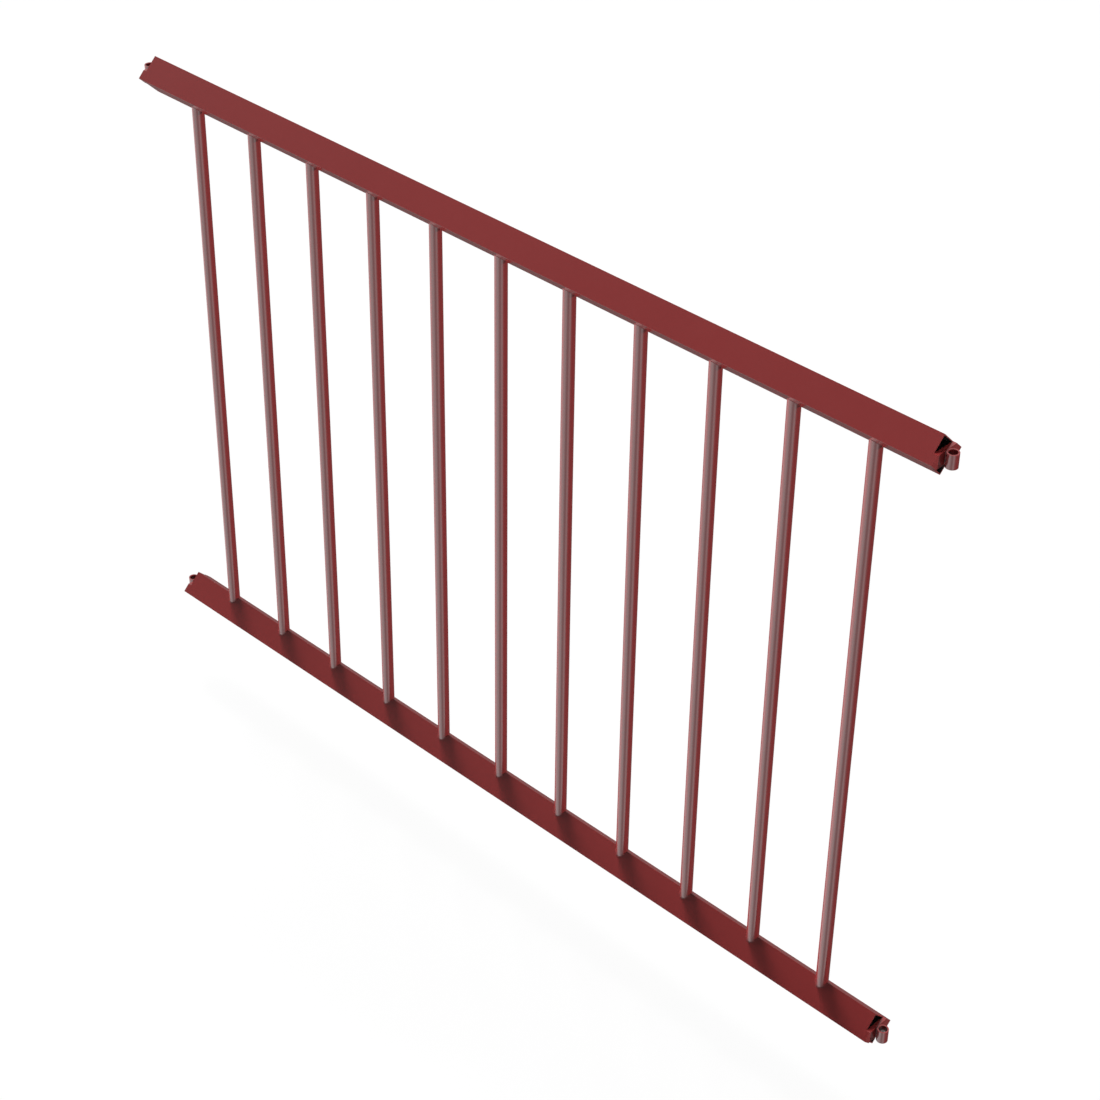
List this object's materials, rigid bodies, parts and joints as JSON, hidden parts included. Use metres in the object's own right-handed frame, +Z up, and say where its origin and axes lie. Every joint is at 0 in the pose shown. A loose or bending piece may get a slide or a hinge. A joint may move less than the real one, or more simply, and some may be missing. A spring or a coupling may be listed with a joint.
{
  "type": "vertical bar fence panel",
  "caption": "Welded steel fence panel of round vertical bars between square-tube rails set on edge, with an upright eye on each rail end for hanging it on post pins.",
  "frame": {"origin": "on the axis of the lower left eye, level with its flat underside", "axes": "+X along the rails from the left eye to the right eye, +Y through the panel to the back, +Z up"},
  "size_m": [1.4694, 0.0564, 0.9864],
  "materials": {
    "red_paint": "dark red gloss paint"
  },
  "bodies": {
    "root": {"top_rail": "red_paint", "bottom_rail": "red_paint", "bar_01": "red_paint", "bar_02": "red_paint", "bar_03": "red_paint", "bar_04": "red_paint", "bar_05": "red_paint", "bar_06": "red_paint", "bar_07": "red_paint", "bar_08": "red_paint", "bar_09": "red_paint", "bar_10": "red_paint", "bar_11": "red_paint", "upper_left_end_plate": "red_paint", "upper_left_eye": "red_paint", "upper_right_end_plate": "red_paint", "upper_right_eye": "red_paint", "lower_left_end_plate": "red_paint", "lower_left_eye": "red_paint", "lower_right_end_plate": "red_paint", "lower_right_eye": "red_paint"}
  },
  "joints": []
}
